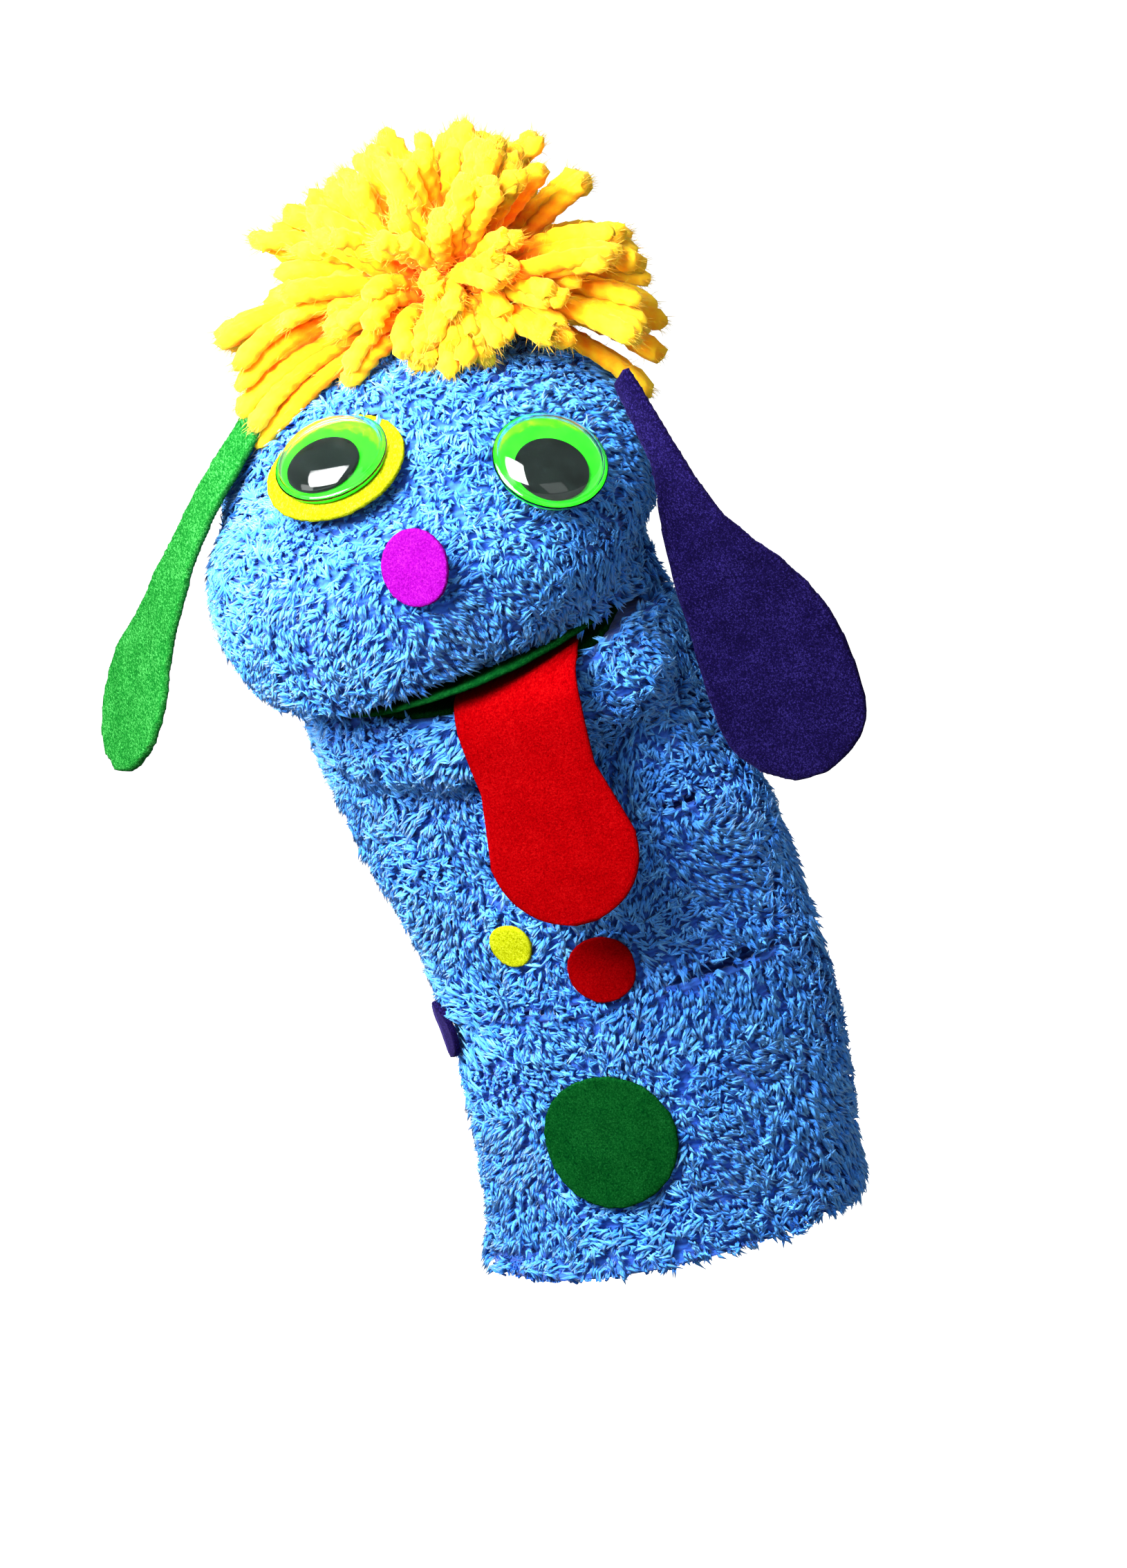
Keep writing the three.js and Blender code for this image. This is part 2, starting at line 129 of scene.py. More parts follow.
def area_light(name, aim, direction, distance, size, power, fan):
    """A soft box that shines on the point `aim` from `direction`, its light fanning out by `fan` degrees."""
    data = bpy.data.lights.new(name, "AREA")
    data.shape = "SQUARE"
    data.size = size
    data.energy = power
    data.spread = math.radians(fan)
    light = bpy.data.objects.new(name, data)
    light.location = aim + direction.normalized() * distance
    light.rotation_mode = "QUATERNION"
    light.rotation_quaternion = (aim - light.location).to_track_quat("-Z", "Y")
    scene.collection.objects.link(light)


def make_lights():
    """The main light is close to the face, from the front left, so the arm falls off into shade."""
    middle = (cad_box[0] + cad_box[1]) / 2
    head_low, head_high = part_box("sock_head")
    face = (head_low + head_high) / 2
    # name, aim, direction, metres away, metres across, watts, degrees of fan
    lamps = (
        ("key", face, TO_CAMERA * 0.9 - IMAGE_RIGHT * 0.66 + IMAGE_UP * 0.5, 0.34, 0.28, 2.4, 72),
        ("side", middle, TO_CAMERA * 0.5 - IMAGE_RIGHT * 0.95, 0.8, 0.3, 0.8, 180),
        ("fill", middle, TO_CAMERA + IMAGE_RIGHT * 0.4 + IMAGE_UP * 0.2, 1.3, 0.7, 1.2, 180),
    )
    for lamp in lamps:
        area_light(*lamp)
    world = bpy.data.worlds.new("studio")
    world.use_nodes = True
    background = world.node_tree.nodes["Background"]
    background.inputs["Color"].default_value = (1, 1, 1, 1)
    background.inputs["Strength"].default_value = 0.42
    scene.world = world
    world.cycles_visibility.glossy = False  # only the lamps show in the eyes' clear plastic
    scene.view_settings.view_transform = "Standard"


def make_floor():
    """A pale sweep well below the puppet, which is held up by its arm opening."""
    level = cad_box[0].z - FLOOR_DROP
    corners = [(x * FLOOR_REACH, y * FLOOR_REACH, level) for x, y in ((-1, -1), (1, -1), (1, 1), (-1, 1))]
    mesh = bpy.data.meshes.new("floor")
    mesh.from_pydata(corners, [], [(0, 1, 2, 3)])
    floor = bpy.data.objects.new("floor", mesh)
    scene.collection.objects.link(floor)
    material, shader, _ = new_material("floor_paper")
    set_inputs(shader, {"Base Color": (0.93, 0.93, 0.93, 1), "Roughness": 1.0,
                        "Emission Color": (1, 1, 1, 1), "Emission Strength": 0.8})
    mesh.materials.append(material)
    floor.visible_glossy = False  # the floor stays out of the eyes' reflections
    floor.visible_diffuse = False


# ---- materials ----

def new_material(name):
    material = bpy.data.materials.new(name)
    material.use_nodes = True
    return material, material.node_tree.nodes["Principled BSDF"], material.node_tree


def set_inputs(node, values):
    for name, value in values.items():
        node.inputs[name].default_value = value


def add_node(tree, kind, **settings):
    node = tree.nodes.new(kind)
    for key, value in settings.items():
        if key in node.inputs:
            node.inputs[key].default_value = value
        else:
            setattr(node, key, value)
    return node


def from_srgb(red, green, blue):
    def linear(value):
        value /= 255
        return value / 12.92 if value <= 0.04045 else ((value + 0.055) / 1.055) ** 2.4
    return (linear(red), linear(green), linear(blue), 1)


def colour_ramp(tree, source, stops):
    """Colours by level; each stop is a level from 0 to 1 and an sRGB colour from 0 to 255."""
    ramp = add_node(tree, "ShaderNodeValToRGB")
    elements = ramp.color_ramp.elements
    while len(elements) < len(stops):
        elements.new(0.5)
    for element, (position, colour) in zip(elements, stops):
        element.position = position
        element.color = from_srgb(*colour)
    tree.links.new(source, ramp.inputs["Fac"])
    return ramp.outputs["Color"]


def noise_at(tree, scale, stretch=(1, 1, 1), turn=(0, 0, 0), detail=3.0):
    """Noise over the piece's own coordinates, with about `scale` features to a metre."""
    place = add_node(tree, "ShaderNodeTexCoord")
    mapping = add_node(tree, "ShaderNodeMapping")
    set_inputs(mapping, {"Scale": stretch, "Rotation": turn})
    grain = add_node(tree, "ShaderNodeTexNoise", Scale=scale, Detail=detail, Roughness=0.6)
    tree.links.new(place.outputs["Object"], mapping.inputs["Vector"])
    tree.links.new(mapping.outputs["Vector"], grain.inputs["Vector"])
    return grain.outputs["Fac"]


def math_node(tree, operation, first, second):
    node = add_node(tree, "ShaderNodeMath", operation=operation)
    for socket, value in zip(node.inputs, (first, second)):
        if isinstance(value, (int, float)):
            socket.default_value = value
        else:
            tree.links.new(value, socket)
    return node.outputs[0]


def weighted_sum(tree, *parts):
    """Adds up sockets, each times its weight."""
    total = None
    for socket, weight in parts:
        part = math_node(tree, "MULTIPLY", socket, weight)
        total = part if total is None else math_node(tree, "ADD", total, part)
    return total


def tone_parts(tree):
    """The three channels of the mesh's own attribute called tone."""
    tone = add_node(tree, "ShaderNodeAttribute", attribute_name="tone")
    parts = add_node(tree, "ShaderNodeSeparateColor")
    tree.links.new(tone.outputs["Color"], parts.inputs["Color"])
    return parts.outputs["Red"], parts.outputs["Green"], parts.outputs["Blue"]


def bump(tree, shader, height, strength, distance):
    node = add_node(tree, "ShaderNodeBump", Strength=strength, Distance=distance)
    tree.links.new(height, node.inputs["Height"])
    tree.links.new(node.outputs["Normal"], shader.inputs["Normal"])


def felt_material(name, dark, mid, light, sheen=0.0):
    """Pressed fibres that lie every way: fine streaks in three directions, with faint clouds."""
    material, shader, tree = new_material(name)
    turns = ((0.3, 0.2, 0.4), (0.9, -0.5, 1.6), (-0.6, 0.8, 2.7))
    streaks = [noise_at(tree, 2400, stretch=(1, 0.12, 1), turn=turn, detail=2) for turn in turns]
    fibres = math_node(tree, "MAXIMUM", math_node(tree, "MAXIMUM", streaks[0], streaks[1]), streaks[2])
    clouds = noise_at(tree, 160, detail=4)
    tone = weighted_sum(tree, (fibres, 0.85), (clouds, 0.15))
    colour = colour_ramp(tree, tone, [(0.42, dark), (0.56, mid), (0.74, light)])
    tree.links.new(colour, shader.inputs["Base Color"])
    set_inputs(shader, {"Roughness": 1.0, "Specular IOR Level": 0.0, "Sheen Weight": sheen,
                        "Sheen Roughness": 0.4, "Sheen Tint": from_srgb(150, 130, 255)})
    bump(tree, shader, fibres, 0.5, 0.15 * MM)
    return material


def pile_material():
    """Chenille tufts: painted shade keeps them deep blue down in the pile, painted light makes the tips
    paler, and sheen makes them fuzzy where they catch the light.
    """
    material, shader, tree = new_material("chenille_pile")
    along, tuft, strand = tone_parts(tree)
    patches = noise_at(tree, 45, detail=3)
    # How far along the strand it is paints shade at the roots and light at the tips.
    level = weighted_sum(tree, (along, 0.5), (tuft, 0.25), (strand, 0.15), (patches, 0.2))
    colour = colour_ramp(tree, level, [
        (0.15, (30, 84, 186)), (0.45, (44, 112, 206)), (0.75, (76, 148, 224)), (1.0, (122, 190, 240))])
    tree.links.new(colour, shader.inputs["Base Color"])
    set_inputs(shader, {"Roughness": 1.0, "Specular IOR Level": 0.05, "Sheen Weight": 0.3,
                        "Sheen Roughness": 0.4, "Sheen Tint": from_srgb(190, 225, 255)})
    return material


def knit_material():
    """The sock's ground between the tufts, and its inside: rows of dark blue knit."""
    material, shader, tree = new_material("sock_ground")
    place = add_node(tree, "ShaderNodeTexCoord")
    rows = add_node(tree, "ShaderNodeTexWave", wave_type="BANDS", bands_direction="Z")
    set_inputs(rows, {"Scale": 220, "Distortion": 6, "Detail": 2, "Detail Scale": 1.5})
    tree.links.new(place.outputs["Object"], rows.inputs["Vector"])
    tone = weighted_sum(tree, (rows.outputs["Fac"], 0.5), (noise_at(tree, 500), 0.6))
    colour = colour_ramp(tree, tone, [(0.2, (20, 64, 162)), (0.8, (42, 104, 204))])
    tree.links.new(colour, shader.inputs["Base Color"])
    set_inputs(shader, {"Roughness": 1.0, "Sheen Weight": 0.2})
    bump(tree, shader, tone, 0.7, 0.4 * MM)
    return material


def yarn_material():
    """Plied acrylic: painted light makes it pale yellow at the fuzzy cut ends, and painted shade warms it to
    orange in towards the tie and in the grooves between the plies.
    """
    material, shader, tree = new_material("pompom_yarn_yellow")
    along, strand, _ = tone_parts(tree)
    grain = noise_at(tree, 1500, detail=2)
    # How far out along the strand it is paints shade towards the tie and in the ply grooves, and light at the
    # cut ends.
    level = weighted_sum(tree, (along, 0.74), (strand, 0.14), (grain, 0.2))
    colour = colour_ramp(tree, level, [
        (0.2, (222, 58, 2)), (0.44, (243, 106, 2)), (0.7, (252, 154, 6)), (0.96, (254, 192, 34))])
    tree.links.new(colour, shader.inputs["Base Color"])
    set_inputs(shader, {"Roughness": 0.9, "Specular IOR Level": 0.15, "Sheen Weight": 0.15,
                        "Sheen Roughness": 0.4, "Sheen Tint": from_srgb(255, 246, 150),
                        "Subsurface Weight": 0.7, "Subsurface Radius": (6 * MM, 3.4 * MM, 0.5 * MM),
                        "Subsurface Scale": 1.0})
    return material


def plastic_material(name, low, high, roughness, specular):
    """Moulded plastic with faint clouding and a slightly uneven gloss."""
    material, shader, tree = new_material(name)
    clouds = noise_at(tree, 300, detail=2)
    colour = colour_ramp(tree, clouds, [(0.3, low), (0.7, high)])
    tree.links.new(colour, shader.inputs["Base Color"])
    gloss = math_node(tree, "ADD", math_node(tree, "MULTIPLY", noise_at(tree, 900), 0.06), roughness)
    tree.links.new(gloss, shader.inputs["Roughness"])
    shader.inputs["Specular IOR Level"].default_value = specular
    return material


def dome_material():
    """Clear blown plastic that casts no shadow on the disc inside it."""
    material, shader, tree = new_material("eye_clear_plastic")
    set_inputs(shader, {"Base Color": (0.97, 1.0, 0.98, 1), "Roughness": 0.02, "IOR": 1.46,
                        "Transmission Weight": 1.0})
    ripple = noise_at(tree, 120, detail=1)
    bump(tree, shader, ripple, 0.05, 0.2 * MM)
    clear = add_node(tree, "ShaderNodeBsdfTransparent")
    light_path = add_node(tree, "ShaderNodeLightPath")
    mix = add_node(tree, "ShaderNodeMixShader")
    tree.links.new(light_path.outputs["Is Shadow Ray"], mix.inputs[0])
    tree.links.new(shader.outputs[0], mix.inputs[1])
    tree.links.new(clear.outputs[0], mix.inputs[2])
    tree.links.new(mix.outputs[0], tree.nodes["Material Output"].inputs["Surface"])
    return material


# ---- meshes ----

def mesh_object(name, points, faces, material):
    mesh = bpy.data.meshes.new(name)
    mesh.from_pydata([tuple(point) for point in points], [], faces)
    mesh.materials.append(material)
    mesh.polygons.foreach_set("use_smooth", [True] * len(mesh.polygons))
    mesh.update()
    piece = bpy.data.objects.new(name, mesh)
    scene.collection.objects.link(piece)
    return piece


def array_mesh(name, points, quads, triangles, tone, material):
    """A mesh from numpy arrays, with a colour attribute called tone on its points."""
    mesh = bpy.data.meshes.new(name)
    loops = np.concatenate([quads.ravel(), triangles.ravel()]).astype(np.int32)
    sizes = np.concatenate([np.full(len(quads), 4), np.full(len(triangles), 3)])
    mesh.vertices.add(len(points))
    mesh.vertices.foreach_set("co", points.astype(np.float32).ravel())
    mesh.loops.add(len(loops))
    mesh.loops.foreach_set("vertex_index", loops)
    mesh.polygons.add(len(sizes))
    starts = np.concatenate([[0], np.cumsum(sizes)[:-1]])
    mesh.polygons.foreach_set("loop_start", starts.astype(np.int32))
    mesh.polygons.foreach_set("use_smooth", np.ones(len(sizes), bool))
    mesh.update(calc_edges=True)
    attribute = mesh.color_attributes.new("tone", "FLOAT_COLOR", "POINT")
    colours = np.column_stack([tone, np.ones(len(tone))])
    attribute.data.foreach_set("color", colours.astype(np.float32).ravel())
    mesh.materials.append(material)
    piece = bpy.data.objects.new(name, mesh)
    scene.collection.objects.link(piece)
    return piece


def band_faces(first, sides):
    """The quads between a ring of points that starts at `first` and the ring straight after it."""
    return [(first + corner, first + (corner + 1) % sides, first + sides + (corner + 1) % sides,
             first + sides + corner) for corner in range(sides)]


def with_modifiers_applied(piece):
    """Bakes a piece's modifiers into its mesh."""
    graph = bpy.context.evaluated_depsgraph_get()
    mesh = bpy.data.meshes.new_from_object(piece.evaluated_get(graph))
    piece.modifiers.clear()
    piece.data = mesh


def joined(meshes):
    """The points and faces of several meshes in one pair of lists."""
    points = []
    faces = []
    for mesh in meshes:
        first = len(points)
        points += [vertex.co.copy() for vertex in mesh.vertices]
        faces += [[first + index for index in polygon.vertices] for polygon in mesh.polygons]
    return points, faces


def softened(name, nodes, voxel, rounds, material):
    """The CAD solids `nodes` as one soft closed piece: remeshed together and smoothed."""
    points, faces = joined([frame["nodes"][node].data for node in nodes])
    piece = mesh_object(name, points, faces, material)
    weld = piece.modifiers.new("weld", "WELD")
    weld.merge_threshold = 0.001 * MM
    remesh = piece.modifiers.new("remesh", "REMESH")
    remesh.mode = "VOXEL"
    remesh.voxel_size = voxel
    remesh.use_smooth_shade = True
    smooth = piece.modifiers.new("smooth", "SMOOTH")
    smooth.iterations = rounds
    smooth.factor = 0.5
    with_modifiers_applied(piece)
    piece.data.materials.clear()
    piece.data.materials.append(material)
    piece.data.polygons.foreach_set("use_smooth", [True] * len(piece.data.polygons))
    return piece


def ruffle(piece, amount, scale, seed):
    """Moves both faces of a piece together by smooth noise, which leaves its thickness alone."""
    offset = Vector((seed * 7.1, seed * 3.3, seed * 1.7))
    for vertex in piece.data.vertices:
        vertex.co += noise.noise_vector(vertex.co * scale + offset) * amount
    piece.data.update()


LIP_SLOPE = 0.11
LIP_MIDDLE = 4 * MM        # across the face, where the sloping line of the mouth stays at its height
LIP_HALF_WIDTH = 35 * MM
LIP_DEPTH = 40 * MM        # from the mouth's crease to the lip, over which the slope comes in
LIP_BAND = 16 * MM         # how far above and below the mouth the slope dies away

CORNER_RISE = 3.2 * MM     # how far the lower lip comes up at the closed corner
CORNER_START = -6 * MM
CORNER_WIDTH = 20 * MM
CORNER_DEPTH = 30 * MM
CORNER_BELOW = 4 * MM      # the rise is greatest this far under the mouth's line
CORNER_BAND = 11 * MM


def lip_tilt(point):
    """The mouth's line climbs towards the purple ear, most of all at the lip."""
    if point.y > CREASE.y:
        return 0.0
    reach = min(1.0, (CREASE.y - point.y) / LIP_DEPTH)
    fade = math.exp(-((point.z - CREASE.z) / LIP_BAND) ** 2)
    return LIP_SLOPE * max(-LIP_HALF_WIDTH, min(LIP_HALF_WIDTH, point.x - LIP_MIDDLE)) * reach * fade


def lip_rise(point):
    """At the side of the green ear the lower lip comes up to meet the upper one."""
    if point.y > CREASE.y:
        return 0.0
    side = max(0.0, min(1.0, (CORNER_START - point.x) / CORNER_WIDTH))
    reach = min(1.0, (CREASE.y - point.y) / CORNER_DEPTH)
    fade = math.exp(-((point.z - CREASE.z + CORNER_BELOW) / CORNER_BAND) ** 2)
    return CORNER_RISE * side * reach * fade


def tilt_lips(piece, lower=False):
    for vertex in piece.data.vertices:
        rise = lip_rise(vertex.co) if lower else 0.0
        vertex.co.z += lip_tilt(vertex.co) + rise
    piece.data.update()


# ---- the sock and its pile ----

SKIN_VOXEL = 1.5 * MM
SKIN_ROUNDS = {"sleeve": 8, "wrist": 8, "neck": 8, "head": 14}  # rounds of smoothing
SKIN_RUFFLE = 1.3 * MM     # how far the sock is from perfectly even
RUFFLES_TO_A_METRE = 45
INSIDE_SPARE = 0.6 * MM    # the inside moves in by this much, so that the ground keeps some thickness
NAPE_OVERLAP = 4 * MM
OPEN_AIR = 120 * MM        # a face with nothing in front of it for this far is on the outside

WRINKLE_HEIGHT = 120 * MM
WRINKLE_BAND = 22 * MM
WRINKLE_DEPTH = 1.4 * MM

PILE_DEPTH = 2.1 * MM      # how far the pile stands up from its ground
PILE_SEED = 11
TRIES_TO_A_LOCK = 4.5      # points tried for each that the spacing has room for
LOCK_SPACING = 1.5 * MM
LOCK_LENGTH = 3.5 * MM
LOCK_SPREAD = 0.48 * MM
LOCK_STRANDS = 6
COVERED_SHARE = 0.45       # how long the pile is where a piece lies on it
UNDER_LIP = -0.72          # where the head slopes under more than this, the mouth's lining lies on the pile
STRAND_WIDTH = 0.9 * MM
STRAND_TRIANGLES = 9
PIECE_TRIANGLES = 190_000  # the most that one piece of pile holds

SKINS = {
    "sleeve": ["cuff_welt", "sock_leg", "sock_tilt_fold"],
    "wrist": ["sock_wrist_band", "sock_nod_fold"],
    "neck": ["sock_neck", "sock_chin_fold", "sock_jaw"],
    "head": ["sock_head", "sock_nape_fold"],
}


def bend_with_sock(piece):
    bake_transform(piece)


def one_surface(pieces):
    """All the pieces' faces together, for casting rays at."""
    return BVHTree.FromPolygons(*joined([piece.data for piece in pieces]))


def sink_outside(skin, surface, depth):
    """Draws the outside of a skin in, to leave room for the pile that stands on it."""
    shares = [float(faces_outward(surface, vertex.co, vertex.normal)) for vertex in skin.data.vertices]
    near = [[] for _ in shares]
    for edge in skin.data.edges:
        first, second = edge.vertices
        near[first].append(second)
        near[second].append(first)
    for _ in range(2):
        shares = [(share + sum(shares[other] for other in others)) / (1 + len(others))
                  for share, others in zip(shares, near)]
    moves = [vertex.normal * (depth * share - INSIDE_SPARE * (1 - share))
             for vertex, share in zip(skin.data.vertices, shares)]
    for vertex, move in zip(skin.data.vertices, moves):
        vertex.co -= move
    skin.data.update()


def wrinkle(piece):
    """Soft creases across the sock under the mouth, where it bunches over the thumb."""
    for vertex in piece.data.vertices:
        place = vertex.co
        share = math.exp(-((place.z - WRINKLE_HEIGHT) / WRINKLE_BAND) ** 2)
        fold = noise.noise(Vector((place.x * 22, place.y * 22, place.z * 85 + place.x * 30)))
        outward = Vector((place.x + 5 * MM, place.y, 0)).normalized()
        vertex.co += outward * WRINKLE_DEPTH * share * fold
    piece.data.update()


def lengthen_nape(piece):
    """Brings the nape down over the neck's top edge, so that they still meet when the mouth opens."""
    low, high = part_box("sock_nape_fold")
    for vertex in piece.data.vertices:
        if vertex.co.y > CREASE.y and vertex.co.z < high.z:
            share = min(1.0, (high.z - vertex.co.z) / (high.z - low.z))
            vertex.co.z -= NAPE_OVERLAP * share
    piece.data.update()


def make_skins(material):
    """The knitted ground of each stretch of the sock, and their one surface for casting rays at."""
    skins = {}
    for seed, (zone, nodes) in enumerate(SKINS.items()):
        skin = softened(f"sock_{zone}_ground", nodes, SKIN_VOXEL, SKIN_ROUNDS[zone], material)
        ruffle(skin, SKIN_RUFFLE, RUFFLES_TO_A_METRE, seed)
        if zone in ("head", "neck"):
            tilt_lips(skin, lower=zone == "neck")
        if zone == "neck":
            wrinkle(skin)
        if zone == "head":
            lengthen_nape(skin)
        skins[zone] = skin
    outside = one_surface(skins.values())
    for skin in skins.values():
        sink_outside(skin, outside, PILE_DEPTH)
    return skins, one_surface(skins.values())


def surface_samples(skin, spacing, generator, surface):
    """Points spread over the outside of a skin, no two closer than `spacing`, with their normals."""
    mesh = skin.data
    mesh.calc_loop_triangles()
    outer = []
    for triangle in mesh.loop_triangles:
        middle = sum((mesh.vertices[index].co for index in triangle.vertices), Vector()) / 3
        if faces_outward(surface, middle, triangle.normal):
            outer.append(triangle)
    corners = np.array([triangle.vertices[:] for triangle in outer])
    points = np.array([v.co[:] for v in mesh.vertices])
    normals = np.array([v.normal[:] for v in mesh.vertices])
    a, b, c = points[corners[:, 0]], points[corners[:, 1]], points[corners[:, 2]]
    areas = np.linalg.norm(np.cross(b - a, c - a), axis=1) / 2
    wanted = int(TRIES_TO_A_LOCK * areas.sum() / spacing ** 2)
    chosen = generator.choice(len(areas), wanted, p=areas / areas.sum())
    u, v = generator.random(wanted), generator.random(wanted)
    flip = u + v > 1
    u[flip], v[flip] = 1 - u[flip], 1 - v[flip]
    w = 1 - u - v
    at = a[chosen] * w[:, None] + b[chosen] * u[:, None] + c[chosen] * v[:, None]
    facing = (normals[corners[chosen, 0]] * w[:, None] + normals[corners[chosen, 1]] * u[:, None]
              + normals[corners[chosen, 2]] * v[:, None])
    facing /= np.linalg.norm(facing, axis=1)[:, None]
    return thinned(at, facing, spacing)


def thinned(points, normals, spacing):
    """Keeps each point only if no kept point lies within `spacing` of it."""
    cells = {}
    kept = []
    around = [(x, y, z) for x in (-1, 0, 1) for y in (-1, 0, 1) for z in (-1, 0, 1)]
    keys = np.floor(points / spacing).astype(int).tolist()
    for index, (point, (i, j, k)) in enumerate(zip(points.tolist(), keys)):
        near = [cells[i + x, j + y, k + z] for x, y, z in around if (i + x, j + y, k + z) in cells]
        if all(math.dist(point, other) >= spacing for other in near):
            cells[i, j, k] = point
            kept.append(index)
    return points[kept], normals[kept]


def faces_outward(surface, point, normal):
    """True where the surface looks at open air and not across the hollow for the hand."""
    side = Vector((normal.y, -normal.x, 0.2)).normalized() if abs(normal.z) < 0.9 else Vector((1, 0, 0))
    free = 0
    for lean in (0.0, 0.6, -0.6):
        ray = (normal + side * lean).normalized()
        if surface.ray_cast(point + normal * 0.4 * MM, ray, OPEN_AIR)[0] is None:
            free += 1
    return free >= 2


def lock_mesh(name, at, normals, lengths, material, generator):
    """Tufts of pile: at each point a few thin pointed strands bend over together, in drifting directions.

    A strand is two triangular rings and a point, and its tone holds how far along it is, which paints shade
    at its root and light at its tip, the tuft's luck and its own.
    """
    strands = LOCK_STRANDS
    count = len(at) * strands
    drift = np.array([noise.noise_vector(Vector(point) * 60)[:] for point in at])
    heading = drift * 1.5 + generator.normal(0, 0.4, (len(at), 3)) + np.array([0, 0, -0.45])
    heading = np.repeat(heading, strands, axis=0) + generator.normal(0, 0.25, (count, 3))
    normals = np.repeat(normals, strands, axis=0)
    lean = heading - normals * np.einsum("ij,ij->i", heading, normals)[:, None]
    lean /= np.linalg.norm(lean, axis=1)[:, None] + 1e-9
    side = np.cross(normals, lean)
    spread = generator.normal(0, LOCK_SPREAD, (count, 2))
    at = np.repeat(at, strands, axis=0) + lean * spread[:, :1] + side * spread[:, 1:]
    gather = side * spread[:, 1:] * 0.55  # the strands of a tuft close up again towards their tips
    long = np.repeat(lengths * generator.uniform(0.8, 1.12, len(lengths)), strands)
    long = long * generator.uniform(0.75, 1.15, count)
    thick = STRAND_WIDTH / 2 * generator.uniform(0.8, 1.2, count)
    bend = np.repeat(generator.uniform(0.5, 1.05, len(lengths)), strands)
    bend = bend * generator.uniform(0.85, 1.15, count)
    luck = np.repeat(generator.random(len(lengths)), strands)
    own = generator.random(count)
    rings = []
    tones = []
    for share, girth in ((-0.12, 0.85), (0.55, 1.0)):
        rise = share - 0.32 * share ** 2
        centre = at + normals * (long * rise)[:, None] + lean * (long * bend * share ** 2)[:, None]
        centre = centre - gather * share
        slope = np.clip(bend * share * 1.4, 0, 1.2)[:, None]
        forward = lean * np.cos(slope) - normals * np.sin(slope)
        for corner in range(3):
            angle = 2 * math.pi * corner / 3 + 1.05 * (share > 0)
            spoke = side * math.cos(angle) + forward * math.sin(angle)
            rings.append(centre + spoke * (thick * girth)[:, None])
            tones.append(np.column_stack([np.full(count, max(0.0, share)), luck, own]))
    rings.append(at + normals * (long * 0.68)[:, None] + lean * (long * bend)[:, None] - gather)
    tones.append(np.column_stack([np.ones(count), luck, own]))
    points = np.stack(rings, axis=1).reshape(-1, 3)
    tone = np.stack(tones, axis=1).reshape(-1, 3)
    sides = [(corner, (corner + 1) % 3) for corner in range(3)]
    quads = np.array([[low, after, 3 + after, 3 + low] for low, after in sides])
    caps = np.array([[3 + low, 3 + after, 6] for low, after in sides])
    first = (np.arange(count) * len(rings))[:, None, None]
    quads = (quads[None] + first).reshape(-1, 4)
    caps = (caps[None] + first).reshape(-1, 3)
    return array_mesh(name, points, quads, caps, tone, material)


COVER_INSET = 0.2 * MM
COVER_DEPTH = 7 * MM


class Cover:
    """A flat round piece that lies on the sock, so that the pile under it is short."""

    def __init__(self, node):
        points = np.array([vertex.co[:] for vertex in frame["nodes"][node].data.vertices])
        centre = (points.min(0) + points.max(0)) / 2
        _, _, axes = np.linalg.svd(points - points.mean(0), full_matrices=False)
        spread = (points - centre) @ axes.T
        self.centre = Vector(centre)
        self.normal = Vector(axes[2]).normalized()
        self.radius = float(np.abs(spread[:, :2]).max()) - COVER_INSET

    def lies_on(self, point):
        away = point - self.centre
        height = away.dot(self.normal)
        return abs(height) < COVER_DEPTH and (away - self.normal * height).length < self.radius


def make_pile(skins, outside, material, covers):
    """Each stretch's pile, in pieces that part it round the arm."""
    generator = np.random.default_rng(PILE_SEED)
    for zone, skin in skins.items():
        at, normals = surface_samples(skin, LOCK_SPACING, generator, outside)
        covered = np.array([any(cover.lies_on(Vector(point)) for cover in covers) for point in at])
        if zone == "head":
            covered |= (normals[:, 2] < UNDER_LIP) & (at[:, 1] < CREASE.y)
        lengths = np.where(covered, COVERED_SHARE, 1.0) * LOCK_LENGTH
        round_the_arm = np.argsort(np.arctan2(at[:, 0], -at[:, 1]))
        pieces = math.ceil(len(at) * LOCK_STRANDS * STRAND_TRIANGLES / PIECE_TRIANGLES)
        for number, part in enumerate(np.array_split(round_the_arm, pieces), 1):
            name = f"sock_{zone}_pile_{number}"
            pile = lock_mesh(name, at[part], normals[part], lengths[part], material, generator)
            bend_with_sock(pile)


# ---- felt ----

FELT_ROUNDS = 3
FELT_RUFFLE = 0.25 * MM
FELT_RUFFLES_TO_A_METRE = 160
ROUND = math.pi / 4        # the share of its width times its length that a round piece covers
LIP_STRETCH = 1.06
FELT_COLOURS = {           # the material's name; dark, middle and light fibres; sheen
    "green": ("felt_dark_green", (0, 31, 9), (3, 49, 14), (17, 75, 30)),
    "light_green": ("felt_bright_green", (4, 60, 16), (16, 85, 26), (62, 138, 68)),
    "red": ("felt_red", (80, 0, 1), (104, 0, 2), (128, 7, 8)),
    "magenta": ("felt_magenta", (78, 2, 86), (96, 4, 104), (122, 26, 130)),
    "yellow": ("felt_yellow", (100, 106, 2), (132, 140, 8), (168, 174, 46)),
    "purple": ("felt_purple", (5, 3, 23), (9, 5, 36), (36, 29, 86), 0.1),
}
SPOTS = {                  # the stretch of the sock each spot is on, and how wide it is
    "green": ("sleeve", 30 * MM),
    "red": ("wrist", 15 * MM),
    "yellow": ("wrist", 10.2 * MM),
    "purple": ("sleeve", 13 * MM),
}
